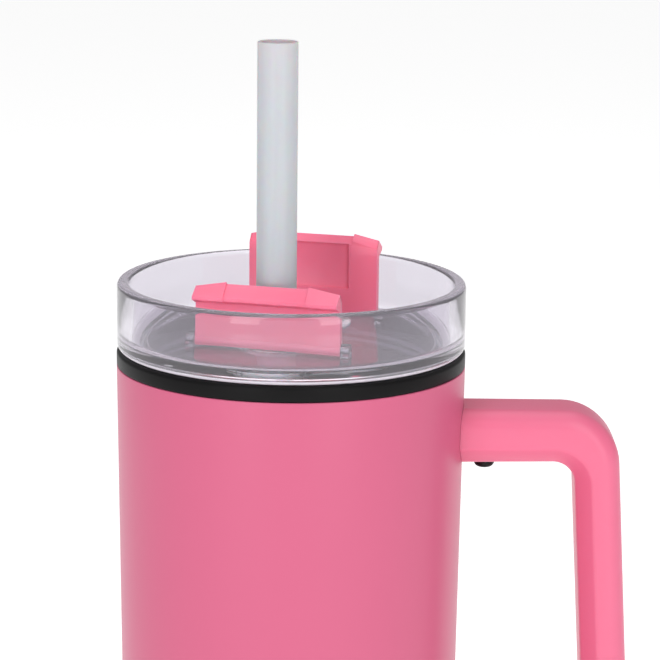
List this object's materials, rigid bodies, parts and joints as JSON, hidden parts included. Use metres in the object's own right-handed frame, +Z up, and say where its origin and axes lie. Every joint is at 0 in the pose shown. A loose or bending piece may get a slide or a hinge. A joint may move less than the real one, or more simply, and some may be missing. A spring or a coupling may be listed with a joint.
{
  "type": "insulated tumbler with lid",
  "caption": "Tall vacuum-insulated steel tumbler with a side handle, a clear push-in lid, flip doors over the straw hole and drink port, and a straight straw.",
  "frame": {"origin": "centre of the foot's underside, on the body's axis, at table height", "axes": "+Z up along the body's axis, +X towards the handle, +Y to the rear of the lid as the tumbler is drunk from with the handle at the right"},
  "size_m": [0.1506, 0.1002, 0.3339],
  "materials": {
    "coated_steel": "satin powder coat",
    "steel": "brushed",
    "getter_metal": "dull sintered",
    "foot_silicone": "matt moulded",
    "handle_plastic": "satin moulded",
    "black_steel": "black oxide",
    "clear_plastic": "clear, polished",
    "black_plastic": "satin moulded",
    "seal_silicone": "translucent silicone",
    "straw_plastic": "frosted translucent",
    "door_plastic": "satin moulded"
  },
  "bodies": {
    "tumbler": {"outer_shell": "coated_steel", "inner_liner": "steel", "getter": "getter_metal", "base_disc": "steel", "vacuum_seal": "getter_metal", "base_pad": "foot_silicone", "handle": "handle_plastic", "upper_bracket": "steel", "lower_bracket": "steel", "handle_screws": "black_steel"},
    "lid": {"lid_body": "clear_plastic", "lid_band": "black_plastic", "upper_lid_seal": "seal_silicone", "lower_lid_seal": "seal_silicone", "straw_grommet": "seal_silicone", "drink_gasket": "seal_silicone", "straw_door_pin": "steel", "drink_door_pin": "steel"},
    "straw": {"straw": "straw_plastic"},
    "straw_door": {"straw_door": "door_plastic"},
    "drink_door": {"drink_door": "door_plastic"}
  },
  "joints": [
    {"name": "lid_lift", "type": "slide", "parent": "tumbler", "child": "lid", "axis": [0, 0, 1], "range_m": [0, 0.25]},
    {"name": "straw_slide", "type": "slide", "parent": "lid", "child": "straw", "axis": [0, 0, 1], "range_m": [0, 0.235]},
    {"name": "straw_door_hinge", "type": "hinge", "parent": "lid", "child": "straw_door", "pos_m": [-0.00616, -0.02149, 0.24925], "axis": [0.9613, -0.2756, 0], "range_deg": [0, 25]},
    {"name": "drink_door_hinge", "type": "hinge", "parent": "lid", "child": "drink_door", "pos_m": [0.00616, 0.02149, 0.24925], "axis": [0.9613, -0.2756, 0], "range_deg": [-12, 90]}
  ]
}
